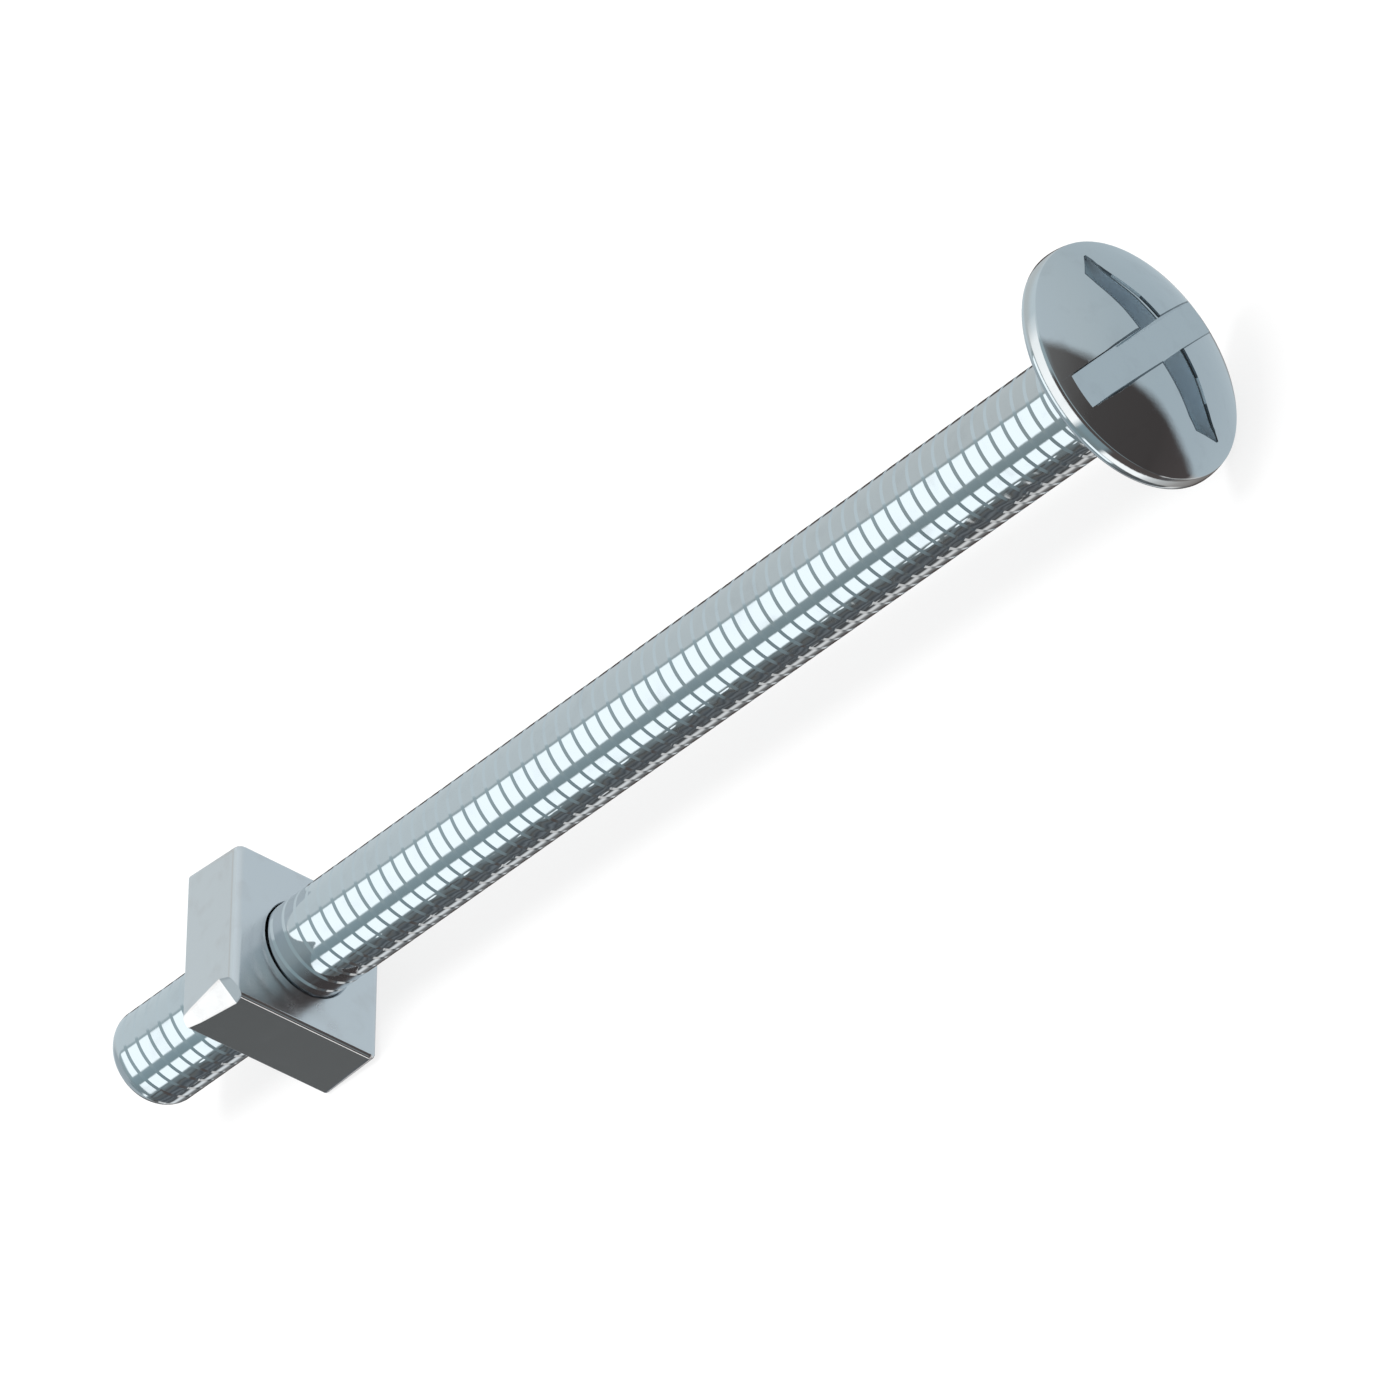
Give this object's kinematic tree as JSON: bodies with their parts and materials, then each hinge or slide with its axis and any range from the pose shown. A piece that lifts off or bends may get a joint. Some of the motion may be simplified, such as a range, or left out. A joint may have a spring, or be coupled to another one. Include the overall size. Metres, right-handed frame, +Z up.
{
  "type": "roofing bolt",
  "caption": "Long fully threaded bolt with a shallow domed, cross-slotted head and a square nut that travels along the thread.",
  "frame": {"origin": "middle of the flat underside of the head, on the bolt's axis", "axes": "+X runs along the bolt from its free end out through the head, +Z is up with the bolt lying on its side, and the nut's flats face +-Y and +-Z"},
  "size_m": [0.0829, 0.0138, 0.0138],
  "materials": {
    "zinc_bolt": "bright zinc plate on steel, smooth and slightly blue",
    "zinc_nut": "bright zinc plate on steel, a little duller than the bolt"
  },
  "bodies": {
    "bolt": {"bolt": "zinc_bolt"},
    "square_nut": {"square_nut": "zinc_nut"}
  },
  "joints": [
    {"name": "nut_travel", "type": "slide", "parent": "bolt", "child": "square_nut", "axis": [1, 0, 0], "range_m": [-0.015, 0.063]}
  ]
}
